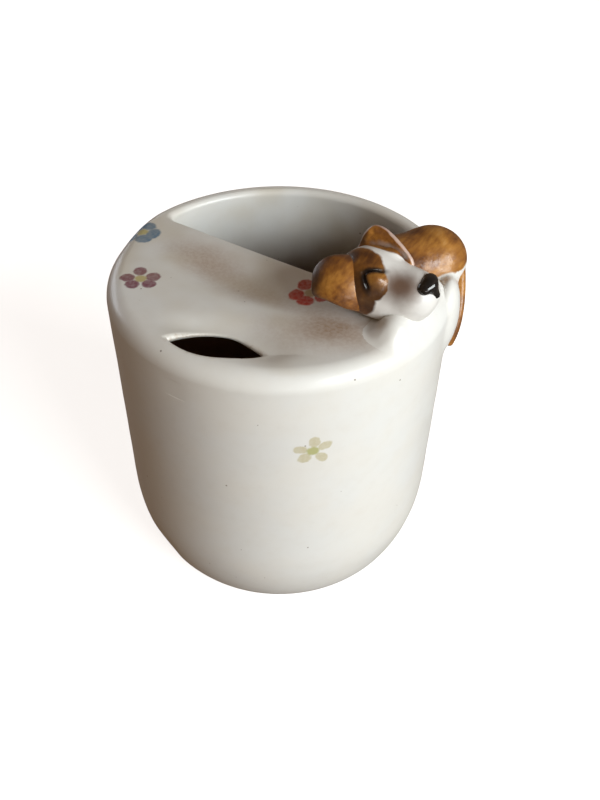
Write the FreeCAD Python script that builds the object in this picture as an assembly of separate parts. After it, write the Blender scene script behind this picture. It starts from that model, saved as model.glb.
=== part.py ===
"""A thrown stoneware cup bank: half cover with a slot, and a sleeping dog lying over the rim.

Frame: millimetres, origin at the centre of the flat base, +Z up, the slot towards -Y.
The dog is placed from an anchor on the rim: "out" is away from the cup's axis, "round" is
anticlockwise seen from above, and "up" is measured from the top of the rim.
"""
import os
import FreeCAD, Part
from math import atan2, cos, degrees, radians, sin
from FreeCAD import Matrix, Placement, Rotation, Vector

# --- cup -----------------------------------------------------------------------------------
rim_radius = 42.0            # outside of the wall at the rim
cup_height = 87.0            # base to the top of the rim
wall = 4.0                   # thickness of the thrown wall
floor_thickness = 6.0
wall_taper = 0.4             # how much narrower the wall is at the top of the heel
heel_height = 26.0           # height of the curve between base and wall
heel_inset = 11.6            # how far the flat base lies inside the wall
rim_round = 1.8              # rounding of the open part of the rim
rim_round_limit = 0.45       # and at most this share of the wall

# --- half cover ----------------------------------------------------------------------------
cover_thickness = 5.0
shoulder_round = 4.5         # rounding of the cover's outer edge
cover_edge_y = 3.4           # straight back edge of the cover
cover_edge_round = 1.4       # rounding of that edge
cover_bend_x = 12.0          # where the back edge starts to curve under the dog
cover_end_angle = 27.0       # where that curve meets the rim, degrees from +X
slot_length = 21.0
slot_width = 8.0
slot_from_rim = 9.2          # rim to the middle of the slot
slot_angle = -81.8           # place of the slot round the cup, degrees from +X
slot_twist = 14.0            # turn of the slot out of the round direction, degrees
slot_lip = 1.5               # width and depth of the dished lip
slot_overcut = 1.0           # how far the slot's cutter passes the cover above and below
shoulder_land = 0.3          # upright land left under the shoulder of a thin cover

# --- dog: places are (out, round, up) from the anchor, half sizes are along the lump ---------
dog_angle = 30.0             # place of the dog round the rim, degrees from +X
torso_centre = (-13.0, 1.0, 1.0)
torso_half = (10.0, 8.4, 6.8)
torso_yaw = 38.0
rump_centre = (-5.6, 4.8, 1.0)
rump_half = (8.7, 8.6, 7.9)
rump_yaw = 0.0
haunch_half = (3.4, 6.4, 9.4)
haunch_proud = 2.3           # how far the thigh stands out from the wall
haunch_along = -6.6          # place of the thigh round the wall from the anchor
haunch_middle = -6.9         # middle of the thigh above the top of the rim
tail_radius = 0.85
tail_along = (2.6, -3.2, -6.6)       # top, middle and end of the tail round the wall from the anchor
tail_heights = (0.6, -8.0, -15.4)    # the same three places above the top of the rim
tail_proud = (1.6, 2.3, 0.9)         # and out from the wall

# --- head: a frame of its own, x towards the nose, y towards the left ear ---------------------
head_centre = (-20.8, -13.0, 6.4)
head_yaw = -30.0
head_pitch = 13.0            # nose up
head_roll = 12.0             # top of the head towards the right ear
skull_half = (8.2, 8.2, 7.2)
muzzle_half = (7.8, 6.0, 5.8)
muzzle_embed = 7.7           # how deep the muzzle is pressed into the skull
muzzle_drop = 2.6
nose_half = (1.7, 2.8, 2.2)
nose_embed = 2.6             # how deep the nose pad is pressed into the muzzle
nose_rise = 3.2              # nose pad above the middle of the muzzle
right_ear_half = (5.8, 2.0, 6.6)
right_ear_place = (-4.8, -7.6, 3.4)
right_ear_roll = -32.0
left_ear_half = (6.6, 1.7, 4.8)
left_ear_place = (1.2, 7.0, 6.2)
left_ear_roll = 40.0

# --- foreleg, a coil of clay laid along the shoulder of the cover -----------------------------
leg_radius = 3.6
leg_from_rim = 6.3           # rim to the middle of the leg
leg_start = -8.0             # places of the leg's two ends round the cup from the anchor
leg_end = -25.9
leg_rise = 0.4               # middle of the leg above the cover

near = 0.01                  # sizes closer than this are taken as the same


def revolve(face):
    """Turn a face in the XZ plane once round the cup's axis."""
    return face.revolve(Vector(0, 0, 0), Vector(0, 0, 1), 360)


def polyline_face(edges):
    """Make a face from edges that join end to end."""
    return Part.Face(Part.Wire(edges))


def segment(start, end):
    """Make a straight edge in the XZ plane from two (x, z) pairs."""
    return Part.makeLine(Vector(start[0], 0, start[1]), Vector(end[0], 0, end[1]))


def heel_edge(foot_radius, foot_z, top_radius, top_z):
    """Make a quarter ellipse that leaves the foot flat and meets the wall upright."""
    span = top_radius - foot_radius
    rise = top_z - foot_z
    middle = Vector(foot_radius, 0, top_z)
    if rise >= span:
        ellipse = Part.Ellipse(middle - Vector(0, 0, rise), middle + Vector(span, 0, 0), middle)
    else:
        ellipse = Part.Ellipse(middle + Vector(span, 0, 0), middle - Vector(0, 0, rise), middle)
    low = ellipse.parameter(Vector(foot_radius, 0, foot_z))
    high = ellipse.parameter(Vector(top_radius, 0, top_z))
    first, last = sorted((low, high))
    if last - first > radians(180):
        first, last = last, first + radians(360)
    return ellipse.toShape(first, last)


def thrown_solid(radius_offset, foot_z, top_z):
    """Make the solid of revolution of the cup's outline moved inwards by radius_offset."""
    top = rim_radius - radius_offset
    heel = top - wall_taper
    foot = heel - heel_inset
    edges = [
        segment((0, foot_z), (foot, foot_z)),
        heel_edge(foot, foot_z, heel, heel_height),
        segment((heel, heel_height), (top, top_z)),
        segment((top, top_z), (0, top_z)),
        segment((0, top_z), (0, foot_z)),
    ]
    return revolve(polyline_face(edges))


def edges_near(solid, radius, z):
    """Find the circular edges of this radius at this height."""
    found = []
    for edge in solid.Edges:
        curve = edge.Curve
        if not isinstance(curve, Part.Circle):
            continue
        if abs(curve.Radius - radius) < near and abs(curve.Center.z - z) < near:
            found.append(edge)
    return found


def cover_region(low, high):
    """Make the prism over the front of the mouth, with its back edge rounded on top."""
    reach = rim_radius * 2
    end = radians(cover_end_angle)
    corner = Vector(rim_radius * cos(end), rim_radius * sin(end), low)
    bend = Vector(cover_bend_x, cover_edge_y, low)
    run = corner.x - bend.x
    rise = corner.y - bend.y
    arc_radius = (run * run + rise * rise) / (2 * rise)
    turn = atan2(run, arc_radius - rise)
    middle = Vector(bend.x + arc_radius * sin(turn / 2), bend.y + arc_radius * (1 - cos(turn / 2)), low)
    beyond = corner + Vector(cos(turn), sin(turn), 0) * rim_radius
    back_left = Vector(-reach, cover_edge_y, low)
    straight = Part.makeLine(back_left, bend)
    curved = Part.Arc(bend, middle, corner).toShape()
    onward = Part.makeLine(corner, beyond)
    right = Part.makeLine(beyond, Vector(beyond.x, -reach, low))
    front = Part.makeLine(Vector(beyond.x, -reach, low), Vector(-reach, -reach, low))
    left = Part.makeLine(Vector(-reach, -reach, low), back_left)
    face = polyline_face([straight, curved, onward, right, front, left])
    return face.extrude(Vector(0, 0, high - low))


def round_back_edge(region, top):
    """Round the top of the prism's straight and curved back edge."""
    back = []
    rightmost = region.BoundBox.XMax
    for edge in region.Edges:
        middle = edge.valueAt((edge.FirstParameter + edge.LastParameter) / 2)
        behind = middle.y > cover_edge_y - near and middle.x < rightmost - near
        if behind and abs(middle.z - top) < near:
            back.append(edge)
    return region.makeFillet(min(cover_edge_round, cover_thickness / 2), back)


def lens_wire(length, width, z):
    """Make a pointed outline of two equal arcs, centred on the axis and lying along X."""
    left = Vector(-length / 2, 0, z)
    right = Vector(length / 2, 0, z)
    near = Part.Arc(left, Vector(0, -width / 2, z), right).toShape()
    far = Part.Arc(right, Vector(0, width / 2, z), left).toShape()
    return Part.Wire([near, far])


def slot_cutter():
    """Make the slot with its dished lip, at its place in the cover."""
    under = cup_height - cover_thickness
    throat = Part.Face(lens_wire(slot_length, slot_width, under - slot_overcut))
    throat = throat.extrude(Vector(0, 0, cover_thickness + 2 * slot_overcut))
    wide = lens_wire(slot_length + 2 * slot_lip, slot_width + 2 * slot_lip, cup_height)
    dish = Part.makeLoft([lens_wire(slot_length, slot_width, cup_height - slot_lip), wide], True, True)
    cutter = throat.fuse(dish)
    cutter.rotate(Vector(0, 0, 0), Vector(0, 0, 1), slot_angle + 90 + slot_twist)
    distance = rim_radius - slot_from_rim
    cutter.translate(Vector(distance * cos(radians(slot_angle)), distance * sin(radians(slot_angle)), 0))
    return cutter


def make_cup():
    """The thrown cup, cut down in front by the thickness of the cover."""
    solid = thrown_solid(0, 0, cup_height)
    hollow = thrown_solid(wall, floor_thickness, cup_height)
    shell = solid.cut(hollow)
    rounding = min(rim_round, wall * rim_round_limit)
    rim_edges = edges_near(shell, rim_radius, cup_height) + edges_near(shell, rim_radius - wall, cup_height)
    shell = shell.makeFillet(rounding, rim_edges)
    rebate = cover_region(cup_height - cover_thickness, cup_height + cover_thickness)
    return shell.cut(rebate)


def make_cover():
    """The half cover: a slab with a rounded shoulder, a rounded back edge and the slot."""
    under = cup_height - cover_thickness
    outside = thrown_solid(0, 0, cup_height)
    rounding = min(shoulder_round, cover_thickness - shoulder_land)
    outside = outside.makeFillet(rounding, edges_near(outside, rim_radius, cup_height))
    region = round_back_edge(cover_region(under, cup_height), cup_height)
    return outside.common(region).cut(slot_cutter())


def turned(yaw, pitch, roll):
    """Make a rotation from yaw, nose-up pitch and roll in degrees."""
    return (Rotation(Vector(0, 0, 1), yaw) * Rotation(Vector(0, 1, 0), -pitch)) * Rotation(Vector(1, 0, 0), roll)


def ellipsoid(half):
    """Make an ellipsoid with these half sizes at the origin."""
    scale = Matrix()
    scale.scale(Vector(half[0], half[1], half[2]))
    return Part.makeSphere(1.0).transformGeometry(scale)


def on_rim(place):
    """Turn (out, round, up) from the anchor into a point of the cup's frame."""
    angle = radians(dog_angle)
    out = Vector(cos(angle), sin(angle), 0)
    around = Vector(-sin(angle), cos(angle), 0)
    return out * (rim_radius + place[0]) + around * place[1] + Vector(0, 0, cup_height + place[2])


def rim_lump(place, half, yaw, pitch=0.0, roll=0.0):
    """Make a lump of clay at a place from the anchor."""
    lump = ellipsoid(half)
    lump.Placement = Placement(on_rim(place), turned(dog_angle + yaw, pitch, roll))
    return lump


def head_placement():
    """The head's own frame in the cup's frame."""
    return Placement(on_rim(head_centre), turned(dog_angle + head_yaw, head_pitch, head_roll))


def head_lump(place, half, roll=0.0):
    """Make a lump of clay at a place in the head's frame."""
    lump = ellipsoid(half)
    local = Placement(Vector(*place), turned(0, 0, roll))
    lump.Placement = head_placement().multiply(local)
    return lump


def make_body():
    """Chest, back and rump as one lump over the rim."""
    torso = rim_lump(torso_centre, torso_half, torso_yaw)
    return torso.fuse(rim_lump(rump_centre, rump_half, rump_yaw))


def angle_along(along, radius):
    """Angle from +X, in degrees, of a place this far round from the anchor on a circle of this radius."""
    return dog_angle + degrees(along / radius)


def on_wall(along, height, proud):
    """Find the point that stands proud of the wall, this far round from the anchor, above the rim's top."""
    angle = radians(angle_along(along, rim_radius))
    out = Vector(cos(angle), sin(angle), 0)
    return out * (rim_radius + proud) + Vector(0, 0, cup_height + height)


def make_haunch():
    """The thigh pressed onto the outside of the wall."""
    lump = ellipsoid(haunch_half)
    middle = on_wall(haunch_along, haunch_middle, haunch_proud - haunch_half[0])
    lump.Placement = Placement(middle, turned(angle_along(haunch_along, rim_radius), 0, 0))
    return lump


def make_tail():
    """A thin roll of clay over the thigh and down the wall, with rounded ends."""
    points = [on_wall(*place) for place in zip(tail_along, tail_heights, tail_proud)]
    path = Part.Wire([Part.Arc(*points).toShape()])
    edge = path.Edges[0]
    section = Part.Wire([Part.makeCircle(tail_radius, points[0], edge.tangentAt(edge.FirstParameter))])
    roll = path.makePipeShell([section], True, True)
    for end in (points[0], points[2]):
        roll = roll.fuse(Part.makeSphere(tail_radius, end))
    return roll


def make_foreleg():
    """The leg under the chin: a coil laid along the shoulder with rounded ends."""
    ring = rim_radius - leg_from_rim
    height = cup_height + leg_rise
    first = angle_along(leg_end, ring)
    last = angle_along(leg_start, ring)
    coil = Part.makeTorus(ring, leg_radius, Vector(0, 0, 0), Vector(0, 0, 1), -180, 180, last - first)
    coil.rotate(Vector(0, 0, 0), Vector(0, 0, 1), first)
    coil.translate(Vector(0, 0, height))
    for angle in (radians(first), radians(last)):
        coil = coil.fuse(Part.makeSphere(leg_radius, Vector(ring * cos(angle), ring * sin(angle), height)))
    return coil


def make_head():
    """The skull."""
    return head_lump((0, 0, 0), skull_half)


def muzzle_place():
    """Middle of the muzzle in the head's frame."""
    return (skull_half[0] + muzzle_half[0] - muzzle_embed, 0, -muzzle_drop)


def make_muzzle():
    """The snout pressed onto the skull."""
    return head_lump(muzzle_place(), muzzle_half)


def make_nose():
    """The nose pad on the end of the muzzle."""
    middle = muzzle_place()
    place = (middle[0] + muzzle_half[0] + nose_half[0] - nose_embed, 0, middle[2] + nose_rise)
    return head_lump(place, nose_half)


def make_right_ear():
    """The ear flap that hangs onto the cover."""
    return head_lump(right_ear_place, right_ear_half, right_ear_roll)


def make_left_ear():
    """The ear flap on the far side of the head."""
    return head_lump(left_ear_place, left_ear_half, left_ear_roll)


def largest_solid(shape):
    """Keep the main solid where a cut leaves crumbs."""
    return max(shape.Solids, key=lambda solid: solid.Volume)


def press_together(makers):
    """Cut each piece by the ones already in place, so that they meet face to face."""
    pieces = {}
    for name, maker in makers:
        shape = maker()
        touching = [other for other in pieces.values() if other.BoundBox.intersect(shape.BoundBox)]
        if touching:
            shape = shape.cut(touching)
        pieces[name] = largest_solid(shape)
    return pieces


def main():
    """Build every piece and write one STEP file each."""
    makers = [
        ("cup_body", make_cup),
        ("half_cover", make_cover),
        ("dog_body", make_body),
        ("haunch", make_haunch),
        ("foreleg", make_foreleg),
        ("dog_head", make_head),
        ("dog_muzzle", make_muzzle),
        ("nose_pad", make_nose),
        ("right_ear", make_right_ear),
        ("left_ear", make_left_ear),
        ("tail", make_tail),
    ]
    os.makedirs("parts", exist_ok=True)
    for name, solid in press_together(makers).items():
        print(name, solid.isValid(), round(solid.Volume, 1), solid.BoundBox)
        solid.exportStep("parts/" + name + ".step")


main()
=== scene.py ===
"""A hand-thrown stoneware cup with a slotted half cover and a sleeping terrier lying over its rim.

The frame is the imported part's: metres, origin at the middle of the flat base, +Z up, slot towards -Y.
Inside the classes every size is in millimetres, and MM turns it into metres when a mesh is made.
Solids are fields: functions that are negative in the clay and positive outside it.
"""
import logging
import math
from dataclasses import dataclass, field
from enum import Enum
from typing import Callable

import bmesh
import bpy
import numpy as np
from mathutils import Euler, Matrix, Vector


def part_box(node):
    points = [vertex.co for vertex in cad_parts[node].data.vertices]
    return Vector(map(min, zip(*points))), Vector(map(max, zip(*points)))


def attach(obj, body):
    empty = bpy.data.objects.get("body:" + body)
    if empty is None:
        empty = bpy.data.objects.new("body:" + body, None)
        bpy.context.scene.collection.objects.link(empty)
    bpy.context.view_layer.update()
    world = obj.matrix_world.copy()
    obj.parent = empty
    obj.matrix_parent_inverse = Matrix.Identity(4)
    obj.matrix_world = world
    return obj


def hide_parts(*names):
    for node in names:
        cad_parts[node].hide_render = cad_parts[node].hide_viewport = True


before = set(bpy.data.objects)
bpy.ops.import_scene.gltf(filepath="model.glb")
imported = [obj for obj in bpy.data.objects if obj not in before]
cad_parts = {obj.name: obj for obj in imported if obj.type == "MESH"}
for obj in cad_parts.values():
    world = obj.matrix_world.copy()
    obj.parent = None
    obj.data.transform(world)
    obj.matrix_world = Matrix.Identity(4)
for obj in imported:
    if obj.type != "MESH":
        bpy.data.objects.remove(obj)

MM = 0.001
LOG = logging.getLogger("dog_cup")
Field = Callable[[np.ndarray], np.ndarray]
Triple = tuple[float, float, float]
Colour = tuple[float, float, float]
Socket = bpy.types.NodeSocket

CREAM = (0.80, 0.785, 0.74)
COOL_CREAM = (0.79, 0.79, 0.765)
IRON_SPECK = (0.13, 0.075, 0.04)
# Brown of thin glaze and of painted shade and a painted reflection on the cover.
THIN_GLAZE_AND_SHADE = (0.30, 0.17, 0.085)
BROKEN_GLAZE = (0.40, 0.28, 0.18)
# Brown of the painted shade inside the cup.
INNER_SHADE_BROWN = (0.19, 0.105, 0.05)
PALE_TEA = (0.52, 0.43, 0.27)
WORN_STAIN = (0.62, 0.47, 0.41)
THIN_STAIN = (0.56, 0.43, 0.36)
# Near-black brown of thick stain and of painted shade on the ears.
THICK_STAIN_AND_SHADE = (0.035, 0.014, 0.006)


class Slot(Enum):
    """The record's finishes."""

    CREAM = "cream_glaze"
    BROWN = "brown_glaze"
    PATCHED = "patched_glaze"
    BLACK = "black_glaze"


# ------------------------------------------------------------------------------- shaping clay


def round_max(a: np.ndarray, b: np.ndarray, radius: float | np.ndarray) -> np.ndarray:
    """Cut one field by another, with their edge rounded.

    Args:
        a: First field.
        b: Second field.
        radius: Radius of the rounded edge.

    Returns:
        The field of what is inside both.
    """
    over = np.hypot(np.maximum(a + radius, 0.0), np.maximum(b + radius, 0.0))
    return np.minimum(np.maximum(a, b), -radius) + over


def round_min(a: np.ndarray, b: np.ndarray, radius: float | np.ndarray) -> np.ndarray:
    """Join two fields with a round fillet of this radius between them."""
    return -round_max(-a, -b, radius)


def soft_min(a: np.ndarray, b: np.ndarray, reach: float) -> np.ndarray:
    """Join two fields with clay smoothed over the crease within this reach."""
    share = np.maximum(reach - np.abs(a - b), 0.0) / reach
    return np.minimum(a, b) - share * share * reach / 4.0


def smooth_step(value: np.ndarray, low: float, high: float) -> np.ndarray:
    """Rise smoothly from 0 at low to 1 at high."""
    share = np.clip((value - low) / (high - low), 0.0, 1.0)
    return share * share * (3.0 - 2.0 * share)


def lump(points: np.ndarray, centre: Triple, half: Triple, turn: np.ndarray | None = None) -> np.ndarray:
    """Field of an ellipsoid of clay.

    Args:
        points: Places to measure.
        centre: Middle of the lump.
        half: Half sizes along its own axes.
        turn: Matrix whose columns are those axes.

    Returns:
        About the distance to its skin.
    """
    local = points - np.asarray(centre)
    if turn is not None:
        local = local @ turn
    size = np.asarray(half)
    near = np.linalg.norm(local / size, axis=-1)
    steep = np.linalg.norm(local / (size * size), axis=-1)
    return np.where(steep > 1e-6, near * (near - 1.0) / np.maximum(steep, 1e-6), -size.min())


def roll(points: np.ndarray, start: Triple, end: Triple, thick_start: float, thick_end: float) -> np.ndarray:
    """Field of a straight roll of clay with round ends, which may taper."""
    first, along = np.asarray(start), np.asarray(end) - np.asarray(start)
    share = np.clip(((points - first) @ along) / (along @ along), 0.0, 1.0)
    reach = np.linalg.norm(points - first - share[:, None] * along, axis=-1)
    return reach - (thick_start + (thick_end - thick_start) * share)


def rolled_path(points: np.ndarray, path: np.ndarray, thick: np.ndarray) -> np.ndarray:
    """Field of a roll along several points, with a thickness at each."""
    nearest = np.full(len(points), 1e9)
    for start, end, first, last in zip(path[:-1], path[1:], thick[:-1], thick[1:]):
        nearest = np.minimum(nearest, roll(points, start, end, first, last))
    return nearest


def closed_curve(corners: list[tuple[float, float]], steps: int = 8) -> np.ndarray:
    """A smooth closed outline through a few points, as many short edges."""
    ring = np.asarray(corners)
    outline = []
    for i in range(len(ring)):
        a, b, c, d = (ring[(i + k) % len(ring)] for k in (-1, 0, 1, 2))
        for t in np.arange(steps) / steps:
            outline.append(0.5 * (2 * b + (c - a) * t + (2 * a - 5 * b + 4 * c - d) * t**2
                                  + (3 * b - a - 3 * c + d) * t**3))
    return np.asarray(outline)


def flat_distance(places: np.ndarray, outline: np.ndarray) -> np.ndarray:
    """Distance to a closed outline in its plane, negative inside.

    Args:
        places: Pairs in the plane.
        outline: The outline's points in order.

    Returns:
        One signed distance for each pair.
    """
    nearest = np.full(len(places), 1e18)
    inside = np.zeros(len(places), bool)
    for start, end in zip(outline, np.roll(outline, -1, axis=0)):
        along, off = end - start, places - start
        share = np.clip((off @ along) / max(along @ along, 1e-12), 0.0, 1.0)
        gap = off - share[:, None] * along
        nearest = np.minimum(nearest, (gap * gap).sum(-1))
        spans = (start[1] > places[:, 1]) != (end[1] > places[:, 1])
        rise = end[1] - start[1]
        cross = start[0] + along[0] * off[:, 1] / (rise if abs(rise) > 1e-12 else 1e-12)
        inside ^= spans & (places[:, 0] < cross)
    return np.where(inside, -1.0, 1.0) * np.sqrt(nearest)


def slope(shape: Field, points: np.ndarray, gap: float = 0.02) -> np.ndarray:
    """How the field changes along X, Y and Z."""
    result = np.empty_like(points)
    for axis in range(3):
        shift = np.zeros(3)
        shift[axis] = gap
        result[:, axis] = (shape(points + shift) - shape(points - shift)) / (2 * gap)
    return result


@dataclass
class ClayMesher:
    """Skins a field: one point in each grid cell that the skin crosses, settled onto it."""

    low: Triple
    high: Triple
    step: float
    settling_rounds: int = 4
    least_slope: float = 0.05
    longest_move: float = 0.4

    def grid(self, shape: Field) -> np.ndarray:
        """Measure the field on the whole grid."""
        self.axes = [np.arange(a, b + self.step, self.step) for a, b in zip(self.low, self.high)]
        counts = [len(a) for a in self.axes]
        values = np.empty(counts, np.float32)
        y, z = np.meshgrid(self.axes[1], self.axes[2], indexing="ij")
        for i, x in enumerate(self.axes[0]):
            slab = np.stack([np.full(y.size, x), y.ravel(), z.ravel()], -1)
            values[i] = shape(slab).reshape(y.shape)
        return values

    def cell_points(self, values: np.ndarray) -> tuple[np.ndarray, np.ndarray]:
        """Find the crossed cells and the mean of their crossings.

        Returns:
            The number of each cell's point, or -1, and the points.
        """
        inside = values < 0
        nx, ny, nz = (n - 1 for n in values.shape)
        offsets = [(i, j, k) for i in (0, 1) for j in (0, 1) for k in (0, 1)]
        count = sum(inside[i:nx + i, j:ny + j, k:nz + k].astype(np.int8) for i, j, k in offsets)
        cells = np.argwhere((count > 0) & (count < 8))
        number = np.full((nx, ny, nz), -1, np.int64)
        number[tuple(cells.T)] = np.arange(len(cells))
        corner = np.stack([values[tuple((cells + o).T)] for o in offsets], -1)
        total, found = np.zeros((len(cells), 3)), np.zeros(len(cells))
        for a in range(8):
            for axis in range(3):
                b = a | (4 >> axis)
                if a == b:
                    continue
                first, last = corner[:, a], corner[:, b]
                crossed = (first < 0) != (last < 0)
                share = np.where(crossed, first / np.where(crossed, first - last, 1.0), 0.0)
                place = np.tile(np.asarray(offsets[a], float), (len(cells), 1))
                place[:, axis] += share
                total += place * crossed[:, None]
                found += crossed
        return number, np.asarray(self.low) + (cells + total / found[:, None]) * self.step

    def faces(self, values: np.ndarray, number: np.ndarray) -> np.ndarray:
        """Join the four cells round each crossed grid edge, facing outwards."""
        inside = values < 0
        quads = []
        for axis in range(3):
            b, c = (axis + 1) % 3, (axis + 2) % 3
            first = np.moveaxis(inside, axis, 0)[:-1]
            last = np.moveaxis(inside, axis, 0)[1:]
            edges = np.argwhere(np.moveaxis(first != last, 0, axis))
            within = (edges[:, b] > 0) & (edges[:, c] > 0)
            edges = edges[within & (edges[:, b] < number.shape[b]) & (edges[:, c] < number.shape[c])]
            ring = []
            for back, side in ((-1, -1), (0, -1), (0, 0), (-1, 0)):
                cell = edges.copy()
                cell[:, b] += back
                cell[:, c] += side
                ring.append(number[tuple(cell.T)])
            quad = np.stack(ring, -1)
            outward = inside[tuple(edges.T)]
            quad[~outward] = quad[~outward][:, ::-1]
            quads.append(quad)
        return np.concatenate(quads)

    def skin(self, shape: Field) -> tuple[np.ndarray, np.ndarray]:
        """Make the points and four-cornered faces of the field's skin."""
        values = self.grid(shape)
        number, points = self.cell_points(values)
        quads = self.faces(values, number)
        for _ in range(self.settling_rounds):
            value, way = shape(points), slope(shape, points)
            move = value[:, None] * way / np.maximum((way * way).sum(-1), self.least_slope)[:, None]
            length = np.linalg.norm(move, axis=-1, keepdims=True)
            reach = self.longest_move * self.step
            points = points - move * np.minimum(1.0, reach / np.maximum(length, 1e-9))
        return points, quads


def build_piece(name: str, shape: Field, mesher: ClayMesher,
                shading: Field | None = None) -> bpy.types.Object:
    """Mesh a field and put it in the scene.

    Args:
        name: The piece's name.
        shape: Its field, in millimetres.
        mesher: The grid that skins it.
        shading: Field whose slope gives the surface normals, where it isn't the shape's own.

    Returns:
        The object, in metres, at the origin.
    """
    points, quads = mesher.skin(shape)
    mesh = bpy.data.meshes.new(name)
    mesh.from_pydata((points * MM).tolist(), [], quads.tolist())
    mesh.validate()
    mesh.shade_smooth()
    way = slope(shading or shape, points)
    way /= np.maximum(np.linalg.norm(way, axis=-1, keepdims=True), 1e-9)
    mesh.normals_split_custom_set_from_vertices(way.tolist())
    piece = bpy.data.objects.new(name, mesh)
    bpy.context.scene.collection.objects.link(piece)
    LOG.info("%s: %d points, %d faces", name, len(points), len(quads))
    return piece


def store(piece: bpy.types.Object, label: str, shape: Field) -> None:
    """Keep a field's value at each point of the piece, in millimetres, for its glaze to read."""
    co = np.empty(len(piece.data.vertices) * 3, np.float32)
    piece.data.vertices.foreach_get("co", co)
    values = shape(co.reshape(-1, 3).astype(float) / MM)
    piece.data.attributes.new(label, "FLOAT", "POINT").data.foreach_set("value", values.astype(np.float32))


# ------------------------------------------------------------------------------------ glazes


class NodeSheet:
    """A node tree that is filled by short calls."""

    def __init__(self, tree: bpy.types.NodeTree) -> None:
        """Start with an empty tree."""
        self.tree = tree
        tree.nodes.clear()

    def fed(self, kind: str, inputs: dict[str | int, object] | None = None,
            **settings: object) -> bpy.types.bpy_prop_collection:
        """Add a node, set its properties and feed its inputs.

        Args:
            kind: The node's type.
            inputs: A socket to link, or a value, for each input's name or number.
            settings: The node's own properties.

        Returns:
            The node's outputs.
        """
        node = self.tree.nodes.new(kind)
        for key, value in settings.items():
            setattr(node, key, value)
        for label, value in (inputs or {}).items():
            if isinstance(value, bpy.types.NodeSocket):
                self.join(value, node.inputs[label])
            else:
                node.inputs[label].default_value = value
        return node.outputs

    def join(self, start: Socket, end: Socket) -> None:
        """Link two sockets."""
        self.tree.links.new(start, end)

    def math(self, operation: str, *values: Socket | float) -> Socket:
        """Work out a number from sockets and constants."""
        return self.fed("ShaderNodeMath", dict(enumerate(values)), operation=operation)["Value"]

    def vector(self, operation: str, *values: Socket | Triple) -> Socket:
        """Work out a vector from sockets and constants."""
        return self.fed("ShaderNodeVectorMath", dict(enumerate(values)), operation=operation)["Vector"]

    def part(self, place: Socket, axis: str) -> Socket:
        """One coordinate of a place."""
        return self.fed("ShaderNodeSeparateXYZ", {0: place})[axis]

    def span(self, value: Socket, low: float, high: float, first: float = 0.0, last: float = 1.0) -> Socket:
        """Carry a number smoothly from low..high to first..last, and hold it there."""
        inputs = {"Value": value, "From Min": low, "From Max": high, "To Min": first, "To Max": last}
        return self.fed("ShaderNodeMapRange", inputs, interpolation_type="SMOOTHSTEP")["Result"]

    def mix(self, share: Socket | float, first: Socket | Colour, last: Socket | Colour) -> Socket:
        """Blend two colours."""
        ready = [c if isinstance(c, bpy.types.NodeSocket) else (*c, 1.0) for c in (first, last)]
        return self.fed("ShaderNodeMix", {0: share, 6: ready[0], 7: ready[1]}, data_type="RGBA")[2]


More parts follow.
